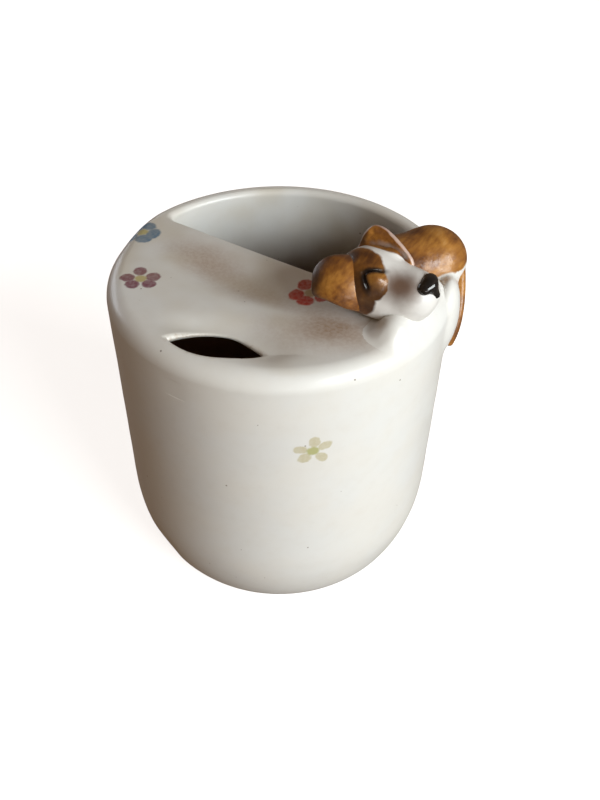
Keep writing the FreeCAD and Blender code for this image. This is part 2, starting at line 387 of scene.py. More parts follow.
class GlazeSheet(NodeSheet):
    """The nodes of one glaze, with patterns measured in millimetres on Object coordinates."""

    def __init__(self, name: str) -> None:
        """Start a material with its principled shader."""
        self.material = bpy.data.materials.new(name)
        self.material.use_nodes = True
        super().__init__(self.material.node_tree)
        self.shader = self.tree.nodes.new("ShaderNodeBsdfPrincipled")
        self.fed("ShaderNodeOutputMaterial", {"Surface": self.shader.outputs["BSDF"]})
        self.mm = self.mapped(self.fed("ShaderNodeTexCoord")["Object"], "POINT", scale=(1 / MM,) * 3)

    def mapped(self, source: Socket, kind: str, location: Triple = (0, 0, 0), rotation: Triple = (0, 0, 0),
               scale: Triple = (1, 1, 1)) -> Socket:
        """Move, turn and scale a place."""
        inputs = {"Vector": source, "Location": location, "Rotation": rotation, "Scale": scale}
        return self.fed("ShaderNodeMapping", inputs, vector_type=kind)["Vector"]

    def noise(self, size: float, detail: float = 2.0, source: Socket | None = None, colour: bool = False,
              twist: float = 0.0) -> Socket:
        """Cloudy noise whose patches are about this many millimetres across."""
        inputs = {"Vector": source or self.mm, "Scale": 1.0 / size, "Detail": detail, "Distortion": twist}
        return self.fed("ShaderNodeTexNoise", inputs)["Color" if colour else "Fac"]

    def washed(self, size: float, detail: float, first: float, last: float) -> Socket:
        """Noise carried to a range of numbers."""
        return self.span(self.noise(size, detail), 0.3, 0.7, first, last)

    def shaken(self, source: Socket, size: float, amount: float) -> Socket:
        """A place moved about a little, so that a painted edge isn't ruled."""
        centred = self.vector("SUBTRACT", self.noise(size, 2.0, source, colour=True), (0.5, 0.5, 0.5))
        return self.vector("MULTIPLY_ADD", centred, (2 * amount,) * 3, source)

    def dab(self, source: Socket, centre: Triple, half: Triple, turn: Triple = (0, 0, 0),
            soft: float = 0.12) -> Socket:
        """How much of a brush dab covers a place: 1 in the dab, 0 off it."""
        local = self.mapped(source, "TEXTURE", centre, turn, half)
        length = self.fed("ShaderNodeVectorMath", {0: local}, operation="LENGTH")["Value"]
        return self.span(length, 1.0 - soft, 1.0 + soft, 1.0, 0.0)

    def stroke(self, source: Socket, start: Triple, end: Triple, width: float, soft: float = 0.3) -> Socket:
        """A short painted line between two points."""
        first, last = Vector(start), Vector(end)
        along = last - first
        turn = Vector((1, 0, 0)).rotation_difference(along).to_euler()
        half = (along.length / 2 + width / 2, width / 2, width / 2)
        return self.dab(source, tuple((first + last) / 2), half, tuple(turn), soft)

    def either(self, *masks: Socket) -> Socket:
        """The largest of several masks."""
        result = masks[0]
        for mask in masks[1:]:
            result = self.math("MAXIMUM", result, mask)
        return result

    def times(self, *masks: Socket | float) -> Socket:
        """The product of several masks."""
        result = masks[0]
        for mask in masks[1:]:
            result = self.math("MULTIPLY", result, mask)
        return result

    def stored(self, label: str) -> Socket:
        """A number kept on the piece's points."""
        return self.fed("ShaderNodeAttribute", attribute_name=label)["Fac"]

    def specks(self, pitch: float, size: float, share: float) -> Socket:
        """Iron specks: dots of about this size in some cells of this pitch."""
        cells = self.fed("ShaderNodeTexVoronoi", {"Vector": self.mm, "Scale": 1.0 / pitch}, feature="F1")
        near = self.span(cells["Distance"], 0.5 * size / pitch, 1.1 * size / pitch, 1.0, 0.0)
        chance = self.fed("ShaderNodeSeparateColor", {0: cells["Color"]})[0]
        return self.times(near, self.math("LESS_THAN", chance, share))

    def bump(self, height: Socket, depth: float) -> None:
        """Raise the surface by this many millimetres where height is 1."""
        raised = self.fed("ShaderNodeBump", {"Strength": 1.0, "Distance": depth * MM, "Height": height})
        self.join(raised["Normal"], self.shader.inputs["Normal"])

    def gloss(self, roughness: Socket | float, coat: float = 0.0) -> None:
        """Set how sharp the glaze's reflections are."""
        if isinstance(roughness, bpy.types.NodeSocket):
            self.join(roughness, self.shader.inputs["Roughness"])
        else:
            self.shader.inputs["Roughness"].default_value = roughness
        self.shader.inputs["Coat Weight"].default_value = coat
        self.shader.inputs["Coat Roughness"].default_value = 0.08

    def paint(self, colour: Socket) -> bpy.types.Material:
        """Give the shader its colour and finish the material."""
        self.join(colour, self.shader.inputs["Base Color"])
        return self.material


@dataclass(frozen=True)
class Flower:
    """A five-petalled flower dabbed on with a brush."""

    middle: Triple
    facing: Triple
    petal: Colour
    eye: Colour
    turn: float = 0.0
    size: float = 4.2
    strength: float = 0.9
    plump: float = 0.31
    depth: float = 2.6
    uneven_petals: tuple[Triple, ...] = ((7, 0.66, 1.0), (-5, 0.60, 1.08), (4, 0.64, 0.95), (-8, 0.61, 1.1),
                                         (6, 0.66, 1.0))

    def cover(self, sheet: GlazeSheet, under: Socket) -> Socket:
        """Paint the flower over a colour and return the new colour."""
        turn = Vector(self.facing).to_track_quat("Z", "Y").to_euler()
        local = sheet.mapped(sheet.mm, "TEXTURE", self.middle, tuple(turn))
        local = sheet.shaken(sheet.shaken(local, 1.6, 0.42), 0.5, 0.12)
        petals = []
        for i, (lean, out, broad) in enumerate(self.uneven_petals):
            way = math.radians(self.turn + 72 * i + lean)
            centre = (self.size * out * math.cos(way), self.size * out * math.sin(way), 0)
            half = (self.size * 0.37, self.size * self.plump * broad, self.depth)
            petals.append(sheet.dab(local, centre, half, (0, 0, way), 0.16))
        washy = sheet.washed(0.9, 3.0, 0.82 * self.strength, self.strength)
        painted = sheet.mix(sheet.times(sheet.either(*petals), washy), under, self.petal)
        middle = sheet.dab(local, (0, 0, 0), (self.size * 0.31, self.size * 0.28, self.depth), soft=0.25)
        return sheet.mix(sheet.times(middle, 0.9), painted, self.eye)


@dataclass(frozen=True)
class CreamGlaze:
    """Satin cream glaze with iron specks, thin and brownish where it breaks over an edge, with brown spots
    partly of thin glaze and partly of painted shade, and painted shade inside the cup.
    """

    name: str = "cream_glaze"
    flowers: tuple[Flower, ...] = ()
    thin_glaze_and_shade_spots: tuple[tuple[Triple, Triple, float], ...] = ()
    lip_label: str = ""
    clay_foot: float = 0.0
    inside_label: str = ""
    # Heights in millimetres where the painted shade inside the cup starts and where it is full.
    shade_top: float = 79.0
    shade_full: float = 52.0

    def stain_and_painted_shade(self, sheet: GlazeSheet, colour: Socket) -> Socket:
        """Inside the cup: a paler brown cloud of stain, and painted shade that turns the glaze dark brown
        further down and on the +X side, towards the dog, from just under the rim.
        """
        if not self.inside_label:
            return colour
        place = sheet.shaken(sheet.mm, 11.0, 3.0)
        height = sheet.part(place, "Z")
        inside = sheet.span(sheet.stored(self.inside_label), -0.5, 0.5)
        cloud = sheet.times(inside, sheet.span(sheet.noise(24.0, 2.0), 0.48, 0.72, 0.0, 0.4))
        colour = sheet.mix(cloud, colour, PALE_TEA)
        # Painted shade: the glaze turns dark brown further down inside the cup.
        deep_shade = sheet.span(height, self.shade_top, self.shade_full)
        # Painted shade on the +X side, towards the dog, from just under the rim.
        painted_shade_right = sheet.span(sheet.part(place, "X"), -4.0, 27.0, 0.0, 0.95)
        both = sheet.either(deep_shade, sheet.times(painted_shade_right, sheet.span(height, 86.0, 79.0)))
        return sheet.mix(sheet.times(inside, both), colour, INNER_SHADE_BROWN)

    def make(self) -> bpy.types.Material:
        """Build the glaze."""
        sheet = GlazeSheet(self.name)
        colour = sheet.mix(sheet.washed(16.0, 3.0, 0.0, 1.0), CREAM, COOL_CREAM)
        colour = sheet.mix(sheet.span(sheet.noise(3.0, 4.0), 0.4, 0.9, 0.0, 0.15), colour, (0.66, 0.61, 0.53))
        # Brown spots: partly thin glaze, partly painted shade in the cover's dip and a painted reflection of
        # the dog's brown head in front of its paw.
        for place, half, share in self.thin_glaze_and_shade_spots:
            spot = sheet.dab(sheet.shaken(sheet.mm, 5.0, 1.6), place, half, soft=0.85)
            mask = sheet.times(spot, sheet.washed(0.8, 4.0, 0.75, 1.0), share)
            colour = sheet.mix(mask, colour, THIN_GLAZE_AND_SHADE)
        if self.lip_label:
            near = sheet.span(sheet.stored(self.lip_label), 0.1, 1.5, 1.0, 0.0)
            broken = sheet.span(sheet.noise(1.1, 3.0), 0.40, 0.72, 0.1, 0.6)
            colour = sheet.mix(sheet.times(near, broken), colour, BROKEN_GLAZE)
        for flower in self.flowers:
            colour = flower.cover(sheet, colour)
        colour = self.stain_and_painted_shade(sheet, colour)
        dots = sheet.either(sheet.specks(5.5, 0.28, 0.30), sheet.specks(2.4, 0.16, 0.12))
        colour = sheet.mix(sheet.times(dots, 0.75), colour, IRON_SPECK)
        rough = sheet.washed(12.0, 1.0, 0.32, 0.4)
        if self.clay_foot:
            height = sheet.part(sheet.shaken(sheet.mm, 4.0, 0.03), "Z")
            bare = sheet.span(height, self.clay_foot * 0.3, self.clay_foot * 1.7, 1.0, 0.0)
            clay = sheet.mix(sheet.noise(0.8, 5.0), (0.42, 0.31, 0.21), (0.62, 0.51, 0.39))
            colour = sheet.mix(bare, colour, clay)
            rough = sheet.either(rough, sheet.times(bare, 0.85))
        sheet.gloss(rough, 0.1)
        peel = sheet.math("ADD", sheet.noise(0.8, 1.0), sheet.times(sheet.noise(9.0, 0.0), 2.0))
        sheet.bump(sheet.math("SUBTRACT", peel, dots), 0.008)
        return sheet.paint(colour)


def brushed_brown(sheet: GlazeSheet, turn: Triple, bright: float = 1.0) -> Socket:
    """Iron-brown stain brushed on in streaks, golden where it is thin."""
    streaky = sheet.mapped(sheet.mm, "POINT", rotation=turn, scale=(1.0, 0.2, 1.0))
    cloud = sheet.times(sheet.noise(8.0, 2.0, twist=0.3), 0.66)
    blend = sheet.math("ADD", cloud, sheet.times(sheet.noise(1.0, 5.0, streaky), 0.34))
    ramp = sheet.tree.nodes.new("ShaderNodeValToRGB")
    sheet.join(blend, ramp.inputs["Fac"])
    tones = [(0.24, (0.045, 0.016, 0.006)), (0.38, (0.135, 0.047, 0.012)), (0.49, (0.27, 0.105, 0.020)),
             (0.60, (0.42, 0.185, 0.036)), (0.76, (0.58, 0.32, 0.11))]
    while len(ramp.color_ramp.elements) < len(tones):
        ramp.color_ramp.elements.new(0.5)
    for element, (place, tone) in zip(ramp.color_ramp.elements, tones):
        element.position = place
        element.color = (*(bright * c for c in tone), 1.0)
    return ramp.outputs["Color"]


@dataclass(frozen=True)
class BrownGlaze:
    """Brushed brown stain under a clear glossy glaze, worn to pinkish white along a thin edge."""

    name: str = "brown_glaze"
    turn: Triple = (0.0, 0.0, 0.6)
    bright: float = 1.0
    edge_label: str = ""
    edge_reach: float = 0.45
    dark_stain_and_shade_spots: tuple[tuple[Triple, Triple], ...] = ()
    pale_spots: tuple[tuple[Triple, Triple], ...] = ()

    def make(self) -> bpy.types.Material:
        """Build the glaze."""
        sheet = GlazeSheet(self.name)
        colour = brushed_brown(sheet, self.turn, self.bright)
        # Darker spots are partly thick stain and partly painted shade; paler spots are thin stain.
        for spots, tone, grain, amount, soft, share in ((self.dark_stain_and_shade_spots, THICK_STAIN_AND_SHADE, 2.5, 0.7, 0.6, 0.85),
                                                        (self.pale_spots, THIN_STAIN, 1.8, 0.6, 0.5, 0.8)):
            for place, half in spots:
                spot = sheet.dab(sheet.shaken(sheet.mm, grain, amount), place, half, soft=soft)
                colour = sheet.mix(sheet.times(spot, share), colour, tone)
        if self.edge_label:
            uneven = sheet.span(sheet.noise(3.0, 2.0), 0.25, 0.75, -0.2, 0.2)
            worn = sheet.math("ADD", sheet.stored(self.edge_label), uneven)
            mask = sheet.span(worn, -self.edge_reach, -self.edge_reach * 0.45)
            colour = sheet.mix(sheet.times(mask, 0.85), colour, WORN_STAIN)
        sheet.gloss(sheet.washed(1.5, 2.0, 0.28, 0.44), 0.12)
        sheet.bump(sheet.noise(0.7, 3.0), 0.06)
        return sheet.paint(colour)


@dataclass(frozen=True)
class BlackGlaze:
    """Wet black glaze of the nose."""

    name: str = "black_glaze"

    def make(self) -> bpy.types.Material:
        """Build the glaze."""
        sheet = GlazeSheet(self.name)
        cloud = sheet.span(sheet.noise(0.8, 2.0), 0.45, 0.75)
        colour = sheet.mix(cloud, (0.008, 0.007, 0.007), (0.035, 0.026, 0.022))
        sheet.gloss(sheet.washed(1.0, 2.0, 0.10, 0.2), 0.5)
        sheet.bump(sheet.noise(0.7, 2.0), 0.03)
        return sheet.paint(colour)


# -------------------------------------------------------------------------------------- cup


@dataclass(frozen=True)
class Handmade:
    """How the thrown wall leaves a true circle, always inwards."""

    radius: float
    oval: float = 0.22
    oval_way: float = 40.0
    dent: float = 1.8
    dent_way: float = -109.0
    dent_height: float = 12.0
    dent_reach: float = 3.6

    def shrink(self, points: np.ndarray) -> np.ndarray:
        """Share of the radius that is lost at each place."""
        way = np.arctan2(points[..., 1], points[..., 0])
        oval = self.oval * np.sin(way - math.radians(self.oval_way)) ** 2
        aside = np.angle(np.exp(1j * (way - math.radians(self.dent_way)))) * self.radius
        near = (aside**2 + (points[..., 2] - self.dent_height) ** 2) / self.dent_reach**2
        return (oval + self.dent * np.exp(-near)) / self.radius

    def made(self, points: np.ndarray) -> np.ndarray:
        """Move places from the true form to the made one."""
        moved = points.copy()
        moved[..., :2] *= (1.0 - self.shrink(points))[..., None]
        return moved

    def true(self, points: np.ndarray) -> np.ndarray:
        """Move places from the made form back to the true one."""
        moved = points.copy()
        moved[..., :2] /= (1.0 - self.shrink(points))[..., None]
        return moved


@dataclass
class CupShape:
    """The thrown cup's outline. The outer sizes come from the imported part."""

    rim_radius: float
    height: float
    cover_under: float
    wall: float = 4.0
    floor: float = 6.0
    taper: float = 0.4
    heel_height: float = 26.0
    heel_inset: float = 11.6
    seam: float = 76.0
    tuck: float = 0.035

    @classmethod
    def from_frame(cls) -> "CupShape":
        """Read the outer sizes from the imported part."""
        low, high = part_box("cup_body")
        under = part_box("half_cover")[0].z
        return cls((high.y - low.y) / 2 / MM, high.z / MM, under / MM)

    def within(self, points: np.ndarray) -> np.ndarray:
        """How far a place lies inside the middle of the wall, negative outside it or under the floor."""
        below = np.clip((self.heel_height - points[:, 2]) / self.heel_height, 0.0, 1.0)
        outer = self.rim_radius - self.taper - self.heel_inset * (1.0 - np.sqrt(1.0 - below * below))
        across = outer - self.wall / 2 - np.hypot(points[:, 0], points[:, 1])
        return np.minimum(across, points[:, 2] - self.floor / 2)

    @property
    def handmade(self) -> Handmade:
        """The wall's departure from a circle."""
        return Handmade(self.rim_radius)

    def outer(self, z: np.ndarray | float) -> np.ndarray | float:
        """Outer radius of the wall above the heel."""
        rise = self.height - self.heel_height
        return self.rim_radius - self.taper + self.taper * (z - self.heel_height) / rise

    def heel(self, inset: float, foot_z: float, steps: int) -> list[tuple[float, float]]:
        """Quarter ellipse from the flat foot to the upright wall."""
        top = self.rim_radius - self.taper - inset
        foot, rise = top - self.heel_inset, self.heel_height - foot_z
        turns = [math.pi / 2 * i / steps for i in range(steps + 1)]
        return [(foot + self.heel_inset * math.sin(t), self.heel_height - rise * math.cos(t)) for t in turns]

    def profile(self) -> list[tuple[float, float]]:
        """Radius and height from the middle of the foot, over the seam, to the middle of the floor."""
        outside = self.heel(0.0, 0.0, 40)
        inside = self.heel(self.wall, self.floor, 32)
        foot, bowl = outside[0][0], inside[0][0]
        path = [(foot * i / 10, 0.0) for i in range(10)] + outside
        path += [(self.outer(z), z) for z in np.linspace(self.heel_height, self.seam, 44)[1:-1]]
        face = np.linspace(self.tuck, self.wall - self.tuck, 5)
        path += [(self.outer(self.seam) - inset, self.seam) for inset in face]
        downward = np.linspace(self.seam, self.heel_height, 40)[1:-1]
        path += [(self.outer(z) - self.wall, z) for z in downward]
        path += inside[::-1]
        path += [(bowl * (1 - i / 12), self.floor) for i in range(1, 13)]
        return path


@dataclass
class ThrownCup:
    """The cup up to just under its rim, turned from a profile as on the wheel."""

    cup: CupShape
    turn_steps: int = 224
    ripple: float = 0.16
    seed: float = 4.0
    marks_across: Triple = (26.0, 26.0, 190.0)
    smooth_under_seam: float = 9.0
    flower_way: float = -45.7
    flower_height: float = 65.4

    def profile_object(self) -> bpy.types.Object:
        """The profile as a line of points in the XZ plane."""
        path = self.cup.profile()
        edges = [(i, i + 1) for i in range(len(path) - 1)]
        mesh = bpy.data.meshes.new("cup_profile")
        mesh.from_pydata([(r * MM, 0.0, z * MM) for r, z in path], edges, [])
        piece = bpy.data.objects.new("thrown_cup", mesh)
        bpy.context.scene.collection.objects.link(piece)
        return piece

    def wheel(self) -> bpy.types.NodeTree:
        """Build the node tree that turns a profile round the axis and leaves the marks of throwing."""
        sheet = NodeSheet(bpy.data.node_groups.new("thrown_on_the_wheel", "GeometryNodeTree"))
        face = sheet.tree.interface
        for label, kind in (("Profile", "Geometry"), ("Turn Steps", "Int"), ("Ripple", "Float"),
                            ("Seed", "Float"), ("Glaze", "Material")):
            face.new_socket(label, in_out="INPUT", socket_type="NodeSocket" + kind)
        face.new_socket("Cup", in_out="OUTPUT", socket_type="NodeSocketGeometry")
        entry = sheet.fed("NodeGroupInput")
        here = sheet.fed("GeometryNodeInputPosition")["Position"]
        profile = {"Geometry": entry["Profile"]}
        count = sheet.fed("GeometryNodeAttributeDomainSize", profile, component="MESH")["Point Count"]
        columns = sheet.math("ADD", entry["Turn Steps"], 1.0)
        shape = sheet.fed("GeometryNodeMeshGrid", {"Size X": 1.0, "Size Y": 1.0, "Vertices X": columns,
                                                   "Vertices Y": count})["Mesh"]
        last = sheet.math("SUBTRACT", count, 1.0)
        row = sheet.math("MULTIPLY", sheet.math("ADD", sheet.part(here, "Y"), 0.5), last)
        sampled = {**profile, "Value": here, "Index": sheet.math("ROUND", row)}
        point = sheet.fed("GeometryNodeSampleIndex", sampled, data_type="FLOAT_VECTOR")["Value"]
        angle = sheet.math("MULTIPLY", sheet.math("ADD", sheet.part(here, "X"), 0.5), math.tau)
        turn = {"Vector": point, "Angle": angle}
        turned = sheet.fed("ShaderNodeVectorRotate", turn, rotation_type="Z_AXIS")["Vector"]
        shape = sheet.fed("GeometryNodeSetPosition", {"Geometry": shape, "Position": turned})[0]
        shape = sheet.fed("GeometryNodeMergeByDistance", {"Geometry": shape, "Distance": 1e-6})[0]
        marks = sheet.fed("ShaderNodeTexNoise", {"Vector": sheet.vector("MULTIPLY", here, self.marks_across),
                                                 "Scale": 1.0, "Detail": 1.0, "W": entry["Seed"]},
                          noise_dimensions="4D")["Fac"]
        seam = self.cup.seam * MM
        fades = [sheet.span(sheet.part(here, "Z"), low, high)
                 for low, high in ((0.001, 0.012), (seam, seam - self.smooth_under_seam * MM))]
        depth = sheet.math("MULTIPLY", sheet.math("MULTIPLY", *fades), entry["Ripple"])
        height = sheet.math("MULTIPLY", sheet.math("MULTIPLY", marks, depth), -1.0)
        outward = sheet.fed("GeometryNodeInputNormal")["Normal"]
        push = sheet.fed("ShaderNodeVectorMath", {0: outward, "Scale": height}, operation="SCALE")["Vector"]
        shape = sheet.fed("GeometryNodeSetPosition", {"Geometry": shape, "Offset": push})[0]
        shape = sheet.fed("GeometryNodeSetShadeSmooth", {"Geometry": shape})[0]
        shape = sheet.fed("GeometryNodeRealizeInstances", {"Geometry": shape})[0]
        shape = sheet.fed("GeometryNodeSetMaterial", {"Geometry": shape, "Material": entry["Glaze"]})[0]
        sheet.fed("NodeGroupOutput", {"Cup": shape})
        return sheet.tree

    def build(self) -> bpy.types.Object:
        """Throw the cup and glaze it."""
        way, up = math.radians(self.flower_way), self.flower_height
        facing = (math.cos(way), math.sin(way), 0.0)
        reach = float(self.cup.outer(up))
        olive = Flower((reach * facing[0], reach * facing[1], up), facing, (0.53, 0.47, 0.27),
                       (0.44, 0.44, 0.17), turn=18.0, size=4.6, strength=0.75, plump=0.27)
        material = CreamGlaze("cream_glaze_wall", (olive,), clay_foot=0.06, inside_label="inside").make()
        piece = self.profile_object()
        tree = self.wheel()
        modifier = piece.modifiers.new("wheel", "NODES")
        modifier.node_group = tree
        values = {"Turn Steps": self.turn_steps, "Ripple": self.ripple * MM, "Seed": self.seed,
                  "Glaze": material}
        for item in tree.interface.items_tree:
            if item.name in values:
                modifier[item.identifier] = values[item.name]
        bpy.context.view_layer.update()
        evaluated = piece.evaluated_get(bpy.context.evaluated_depsgraph_get())
        mesh = bpy.data.meshes.new_from_object(evaluated)
        piece.modifiers.clear()
        piece.data = mesh
        self.finish_mesh(mesh)
        store(piece, "inside", self.cup.within)
        LOG.info("thrown_cup: %d points, %d faces", len(mesh.vertices), len(mesh.polygons))
        return piece

    def finish_mesh(self, mesh: bpy.types.Mesh) -> None:
        """Press the wall out of true, turn the faces outwards and keep the seam's corner sharp."""
        co = np.empty(len(mesh.vertices) * 3, np.float32)
        mesh.vertices.foreach_get("co", co)
        made = self.cup.handmade.made(co.reshape(-1, 3).astype(float) / MM) * MM
        mesh.vertices.foreach_set("co", made.astype(np.float32).ravel())
        work = bmesh.new()
        work.from_mesh(mesh)
        bmesh.ops.recalc_face_normals(work, faces=work.faces)
        work.to_mesh(mesh)
        work.free()
        mesh.shade_smooth()
        mesh.set_sharp_from_angle(angle=math.radians(50))


@dataclass
class CoverAndRim:
    """The top of the cup: the open lip behind, the half cover in front and the slot in it."""

    cup: CupShape
    edge_y: float = 3.4
    bend_x: float = 12.0
    end_way: float = 27.0
    edge_round: float = 1.5
    lip_round: float = 1.8
    shoulder_round: float = 4.5
    under_fillet: float = 2.6
    slot_length: float = 21.0
    slot_width: float = 8.0
    slot_from_rim: float = 9.2
    slot_way: float = -81.8
    slot_twist: float = 14.0
    slot_lip: float = 1.2
    slot_thinning: float = 2.0
    slot_dish: float = 1.5
    slot_dish_reach: float = 4.8
    dip: float = 2.3
    dip_place: tuple[float, float] = (-3.0, -9.0)
    dip_half: tuple[float, float] = (18.0, 7.0)
    wobble: float = 0.3
    skirt: float = 1.2
    grid_step: float = 0.41
    # Brown spots as x, y, sinking, half sizes and share: partly thin glaze, partly painted shade along the
    # dip, and at (23, -13) a painted reflection of the dog's brown head with painted shade under it.
    thin_glaze_and_shade_spots: tuple[tuple[float, float, float, tuple[float, float], float], ...] = (
        (-19.0, -6.5, 1.0, (9.5, 4.8), 0.60), (-5.0, -10.0, 1.5, (11.0, 4.5), 0.48),
        (8.5, -9.0, 1.5, (9.0, 3.6), 0.30), (23.0, -13.0, 0.5, (8.5, 5.5), 0.85),
        (17.0, -20.0, 0.5, (9.0, 5.0), 0.42))

    def back_edge(self, points: np.ndarray) -> np.ndarray:
        """Distance behind the cover's back edge: straight on the left, an arc under the dog."""
        way = math.radians(self.end_way)
        run = self.cup.rim_radius * math.cos(way) - self.bend_x
        rise = self.cup.rim_radius * math.sin(way) - self.edge_y
        radius = (run * run + rise * rise) / (2 * rise)
        x, y = points[:, 0], points[:, 1]
        curved = radius - np.hypot(x - self.bend_x, y - self.edge_y - radius)
        return np.where(x > self.bend_x, curved, y - self.edge_y)

    def slot_outline(self, points: np.ndarray) -> np.ndarray:
        """Distance to the lens-shaped slot seen from above, negative inside."""
        place, turn = math.radians(self.slot_way), math.radians(self.slot_way + 90 + self.slot_twist)
        reach = self.cup.rim_radius - self.slot_from_rim
        x = points[:, 0] - reach * math.cos(place)
        y = points[:, 1] - reach * math.sin(place)
        along = x * math.cos(turn) + y * math.sin(turn)
        across = y * math.cos(turn) - x * math.sin(turn)
        half = self.slot_width / 2
        radius = ((self.slot_length / 2) ** 2 + half * half) / (2 * half)
        return np.hypot(along, np.abs(across) + radius - half) - radius

    def slot_flare(self, points: np.ndarray) -> np.ndarray:
        """How much wider the slot gets with depth: undercut at its left, upright at its right end."""
        return 0.75 - 0.75 * smooth_step(points[:, 0], 4.0, 12.0)

    def top(self, points: np.ndarray) -> np.ndarray:
        """Height above the top surface: the cover dips in the middle and round the slot."""
        x, y = points[:, 0], points[:, 1]
        u = (x - self.dip_place[0]) / self.dip_half[0]
        v = (y - self.dip_place[1]) / self.dip_half[1]
        sink = self.dip * np.exp(-(u * u + v * v))
        near_slot = np.maximum(self.slot_outline(points), 0.0)
        behind = smooth_step(y, -36.0, -28.0)
        sink += self.slot_dish * np.exp(-((near_slot / self.slot_dish_reach) ** 2)) * behind
        way = np.arctan2(y, x)
        open_part = smooth_step(self.back_edge(points), 4.0, 26.0)
        sink += self.wobble * open_part * (0.5 + 0.5 * np.sin(2 * way + 0.5))
        return points[:, 2] - self.cup.height + sink

    def solid(self, points: np.ndarray) -> np.ndarray:
        """Field of all the clay of the cup near its rim, in the made form, with nothing cut off below."""
        return self.clay(self.cup.handmade.true(points), points[:, 2] * 0.0)

    def clay(self, points: np.ndarray, dive: np.ndarray) -> np.ndarray:
        """The clay in the true form, with the wall thinned from both sides by dive."""
        radius = np.hypot(points[:, 0], points[:, 1])
        outer = self.cup.outer(points[:, 2])
        behind = self.back_edge(points)
        outline = self.slot_outline(points)
        under = self.cup.cover_under + self.slot_thinning * np.exp(-((np.maximum(outline, 0.0) / 6.0) ** 2))
        slab = round_max(under - points[:, 2], behind, 1.0)
        body = round_min(outer - self.cup.wall + dive - radius, slab, self.under_fillet)
        covered = smooth_step(-behind, -2.0, 18.0)
        rounding = self.lip_round + (self.shoulder_round - self.lip_round) * covered
        shell = round_max(self.top(points), radius - outer + dive, rounding)
        whole = round_max(body, shell, self.edge_round)
        top = self.cup.height
        depth = np.clip(top - self.slot_lip - points[:, 2], 0.0, top - self.cup.cover_under)
        return round_max(whole, self.slot_flare(points) * depth - outline, self.slot_lip)

    def shape(self, points: np.ndarray) -> np.ndarray:
        """Field of this piece: below the seam its wall thins away inside the thrown wall."""
        below = np.maximum(self.cup.seam - points[:, 2], 0.0)
        field = self.clay(self.cup.handmade.true(points), 0.5 * below * below)
        return round_max(field, self.cup.seam - self.skirt - points[:, 2], 0.3)

    def build(self) -> bpy.types.Object:
        """Shape and glaze the top of the cup."""
        reach, top = self.cup.rim_radius + 1.0, self.cup.height
        foot = self.cup.seam - 2 * self.skirt
        mesher = ClayMesher((-reach, -reach, foot), (reach, reach, top + 1.0), self.grid_step)
        piece = build_piece("cover_and_rim", self.shape, mesher, self.solid)
        store(piece, "slot_distance", lambda p: np.abs(self.slot_outline(p)))
        store(piece, "inside", self.cup.within)
        blue = Flower((-38.1, -6.1, top - 0.8), (-0.35, 0.0, 1.0), (0.0, 0.155, 0.345), (0.46, 0.42, 0.13),
                      turn=40.0, size=4.9, strength=1.0, plump=0.45)
        purple = Flower((-24.7, -22.4, top - 0.6), (0, 0, 1), (0.19, 0.045, 0.085), (0.52, 0.44, 0.17),
                        turn=20.0, size=4.9, strength=0.95, plump=0.34)
        red = Flower((11.4, -3.9, top - 1.0), (0, 0, 1), (0.44, 0.035, 0.022), (0.42, 0.30, 0.16),
                     turn=30.0, size=5.1, strength=1.0, plump=0.39)
        spots = tuple(((x, y, top - sunk), (*half, 6.0), share)
                      for x, y, sunk, half, share in self.thin_glaze_and_shade_spots)
        glaze = CreamGlaze("cream_glaze_cover", (blue, purple, red), spots, "slot_distance",
                           inside_label="inside")
        piece.data.materials.append(glaze.make())
        return piece


# -------------------------------------------------------------------------------------- dog


@dataclass(frozen=True)
class RimAnchor:
    """Where the dog lies: out from the cup's axis, round it, and up from the rim's top."""

    cup: CupShape
    way: float = 30.0

    def place(self, out: float, round_: float, up: float) -> np.ndarray:
        """A point of the cup's frame from (out, round, up)."""
        way = math.radians(self.way)
        outward = np.array([math.cos(way), math.sin(way), 0.0])
        around = np.array([-math.sin(way), math.cos(way), 0.0])
        upward = np.array([0, 0, self.cup.height + up])
        return outward * (self.cup.rim_radius + out) + around * round_ + upward

    def way_along(self, along: float) -> float:
        """Direction, in degrees from +X, of a place this far round the wall."""
        return self.way + math.degrees(along / self.cup.rim_radius)

    def on_wall(self, along: float, up: float, proud: float) -> np.ndarray:
        """A point standing proud of the wall, this far round it from the anchor."""
        way = math.radians(self.way_along(along))
        reach = self.cup.rim_radius + proud
        return np.array([reach * math.cos(way), reach * math.sin(way), self.cup.height + up])


def axes_of(yaw: float, pitch: float = 0.0, tilt: float = 0.0) -> np.ndarray:
    """Axes, as columns, after a turn about Z, nose up by pitch and a roll."""
    turn = Matrix.Rotation(math.radians(yaw), 3, "Z") @ Matrix.Rotation(math.radians(-pitch), 3, "Y")
    return np.array(turn @ Matrix.Rotation(math.radians(tilt), 3, "X"))


@dataclass
class PressedOn:
    """Clay pressed onto the cup, with glaze pooled in the crease."""

    rim: CoverAndRim
    pool: float
    sunk: float = 1.0

    def joined(self, field: np.ndarray, points: np.ndarray) -> np.ndarray:
        """The clay run into the cup's surface."""
        return soft_min(field, self.rim.solid(points), self.pool)

    def skirted(self, field: np.ndarray, points: np.ndarray) -> np.ndarray:
        """The clay with its pooled skirt, and only a little below the cup's surface."""
        cup = self.rim.solid(points)
        whole = soft_min(field, cup, self.pool)
        return np.maximum(np.maximum(whole, -cup - self.sunk), field - 0.96 * self.pool)

    def build(self, name: str, lumps: Field, mesher: ClayMesher) -> bpy.types.Object:
        """Mesh the clay with its skirt, shaded as if it ran on into the cup."""
        return build_piece(name, lambda p: self.skirted(lumps(p), p), mesher,
                           lambda p: self.joined(lumps(p), p))


def packed_box(corners: tuple[Vector, Vector]) -> tuple[np.ndarray, np.ndarray]:
    """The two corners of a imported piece's box, in millimetres."""
    low, high = (np.array(corner) / MM for corner in corners)
    return low, high


